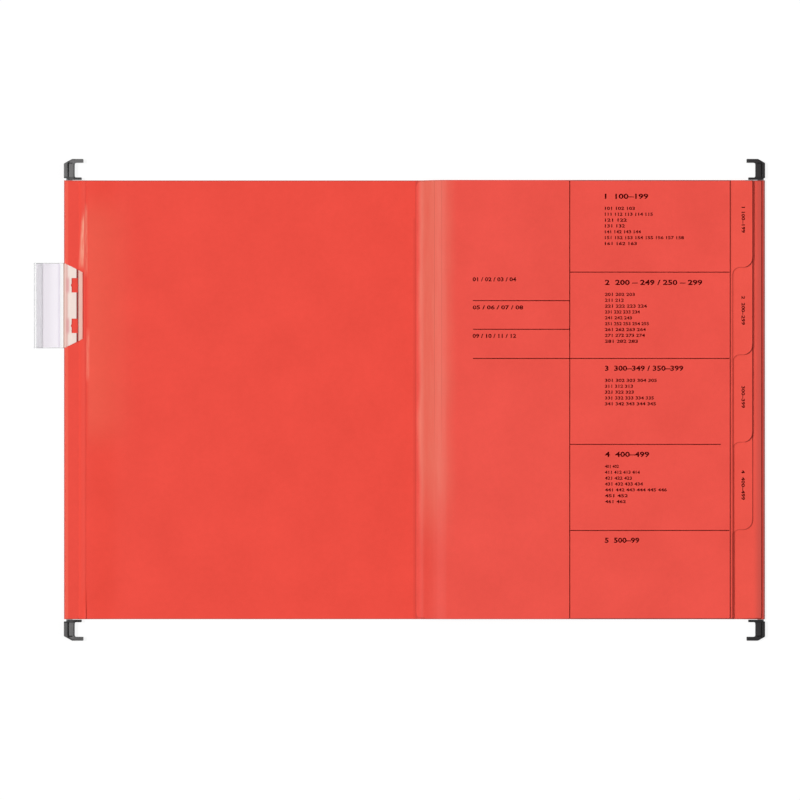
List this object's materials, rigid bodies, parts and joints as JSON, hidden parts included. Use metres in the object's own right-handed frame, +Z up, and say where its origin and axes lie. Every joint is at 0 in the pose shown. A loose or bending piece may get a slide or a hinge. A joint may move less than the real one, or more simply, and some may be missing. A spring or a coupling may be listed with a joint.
{
  "type": "hanging file folder",
  "caption": "Open hanging file of red card with hooked rails, a clear sliding tab, a printed index sheet, stepped dividers and filing fasteners.",
  "frame": {"origin": "on the underside of the spine, at the middle of the fold", "axes": "+X across the fold towards the back cover, +Y along the fold towards the head, +Z up, towards the inside of the open file"},
  "size_m": [0.5276, 0.3468, 0.0098],
  "materials": {
    "cover_card": "smooth red board, slightly glossy",
    "sheet_card": "smooth red manila sheet",
    "hook_plastic": "satin moulded",
    "rail_steel": "rolled strip",
    "fastener_steel": "plated",
    "clear_plastic": "clear, glossy",
    "label_paper": "plain white"
  },
  "bodies": {
    "spine": {"spine_strip": "cover_card", "index_glue_flap": "sheet_card"},
    "back_cover": {"back_panel": "cover_card", "back_rail": "rail_steel", "back_head_hook": "hook_plastic", "back_tail_hook": "hook_plastic", "index_binding": "sheet_card", "binding_1": "sheet_card", "binding_2": "sheet_card", "binding_3": "sheet_card", "binding_4": "sheet_card", "binding_5": "sheet_card"},
    "front_cover": {"front_panel": "cover_card", "front_rail": "rail_steel", "front_head_hook": "hook_plastic", "front_tail_hook": "hook_plastic"},
    "tab": {"tab_holder": "clear_plastic"},
    "label": {"tab_label": "label_paper"},
    "index_leaf": {"index_sheet": "sheet_card"},
    "leaf_1": {"divider_1": "sheet_card", "tongue_strip_1": "rail_steel", "cover_bar_1": "fastener_steel"},
    "lock_head_1_body": {"lock_head_1": "fastener_steel"},
    "lock_tail_1_body": {"lock_tail_1": "fastener_steel"},
    "leaf_2": {"divider_2": "sheet_card", "tongue_strip_2": "rail_steel", "cover_bar_2": "fastener_steel"},
    "lock_head_2_body": {"lock_head_2": "fastener_steel"},
    "lock_tail_2_body": {"lock_tail_2": "fastener_steel"},
    "leaf_3": {"divider_3": "sheet_card", "tongue_strip_3": "rail_steel", "cover_bar_3": "fastener_steel"},
    "lock_head_3_body": {"lock_head_3": "fastener_steel"},
    "lock_tail_3_body": {"lock_tail_3": "fastener_steel"},
    "leaf_4": {"divider_4": "sheet_card", "tongue_strip_4": "rail_steel", "cover_bar_4": "fastener_steel"},
    "lock_head_4_body": {"lock_head_4": "fastener_steel"},
    "lock_tail_4_body": {"lock_tail_4": "fastener_steel"},
    "leaf_5": {"divider_5": "sheet_card", "tongue_strip_5": "rail_steel", "cover_bar_5": "fastener_steel"},
    "lock_head_5_body": {"lock_head_5": "fastener_steel"},
    "lock_tail_5_body": {"lock_tail_5": "fastener_steel"}
  },
  "joints": [
    {"name": "front_fold", "type": "hinge", "parent": "spine", "child": "front_cover", "pos_m": [-0.006, 0, 0.00045], "axis": [0, 1, 0], "range_deg": [0, 90]},
    {"name": "back_fold", "type": "hinge", "parent": "spine", "child": "back_cover", "pos_m": [0.006, 0, 0.00045], "axis": [0, -1, 0], "range_deg": [0, 90]},
    {"name": "tab_slide", "type": "slide", "parent": "front_cover", "child": "tab", "axis": [0, 1, 0], "range_m": [-0.19, 0.055]},
    {"name": "label_slide", "type": "slide", "parent": "tab", "child": "label", "axis": [0, 1, 0], "range_m": [0, 0.06]},
    {"name": "index_turn", "type": "hinge", "parent": "back_cover", "child": "index_leaf", "pos_m": [0.023, 0, 0.01], "axis": [0, 1, 0], "range_deg": [-178, 0]},
    {"name": "divider_1_turn", "type": "hinge", "parent": "back_cover", "child": "leaf_1", "pos_m": [0.027, 0, 0.00825], "axis": [0, 1, 0], "range_deg": [-150, 0]},
    {"name": "lock_head_1_slide", "type": "slide", "parent": "leaf_1", "child": "lock_head_1_body", "axis": [0, -1, 0], "range_m": [0, 0.021]},
    {"name": "lock_tail_1_slide", "type": "slide", "parent": "leaf_1", "child": "lock_tail_1_body", "axis": [0, 1, 0], "range_m": [0, 0.021]},
    {"name": "divider_2_turn", "type": "hinge", "parent": "back_cover", "child": "leaf_2", "pos_m": [0.031, 0, 0.0065], "axis": [0, 1, 0], "range_deg": [-147, 0]},
    {"name": "lock_head_2_slide", "type": "slide", "parent": "leaf_2", "child": "lock_head_2_body", "axis": [0, -1, 0], "range_m": [0, 0.021]},
    {"name": "lock_tail_2_slide", "type": "slide", "parent": "leaf_2", "child": "lock_tail_2_body", "axis": [0, 1, 0], "range_m": [0, 0.021]},
    {"name": "divider_3_turn", "type": "hinge", "parent": "back_cover", "child": "leaf_3", "pos_m": [0.035, 0, 0.00475], "axis": [0, 1, 0], "range_deg": [-144, 0]},
    {"name": "lock_head_3_slide", "type": "slide", "parent": "leaf_3", "child": "lock_head_3_body", "axis": [0, -1, 0], "range_m": [0, 0.021]},
    {"name": "lock_tail_3_slide", "type": "slide", "parent": "leaf_3", "child": "lock_tail_3_body", "axis": [0, 1, 0], "range_m": [0, 0.021]},
    {"name": "divider_4_turn", "type": "hinge", "parent": "back_cover", "child": "leaf_4", "pos_m": [0.039, 0, 0.003], "axis": [0, 1, 0], "range_deg": [-141, 0]},
    {"name": "lock_head_4_slide", "type": "slide", "parent": "leaf_4", "child": "lock_head_4_body", "axis": [0, -1, 0], "range_m": [0, 0.021]},
    {"name": "lock_tail_4_slide", "type": "slide", "parent": "leaf_4", "child": "lock_tail_4_body", "axis": [0, 1, 0], "range_m": [0, 0.021]},
    {"name": "divider_5_turn", "type": "hinge", "parent": "back_cover", "child": "leaf_5", "pos_m": [0.043, 0, 0.00125], "axis": [0, 1, 0], "range_deg": [-138, 0]},
    {"name": "lock_head_5_slide", "type": "slide", "parent": "leaf_5", "child": "lock_head_5_body", "axis": [0, -1, 0], "range_m": [0, 0.021]},
    {"name": "lock_tail_5_slide", "type": "slide", "parent": "leaf_5", "child": "lock_tail_5_body", "axis": [0, 1, 0], "range_m": [0, 0.021]}
  ],
  "couplings": [
    {"joint": "divider_1_turn", "follows": "index_turn", "ratio": 0.8426},
    {"joint": "divider_2_turn", "follows": "index_turn", "ratio": 0.8258},
    {"joint": "divider_3_turn", "follows": "index_turn", "ratio": 0.8089},
    {"joint": "divider_4_turn", "follows": "index_turn", "ratio": 0.7921},
    {"joint": "divider_5_turn", "follows": "index_turn", "ratio": 0.7752}
  ]
}
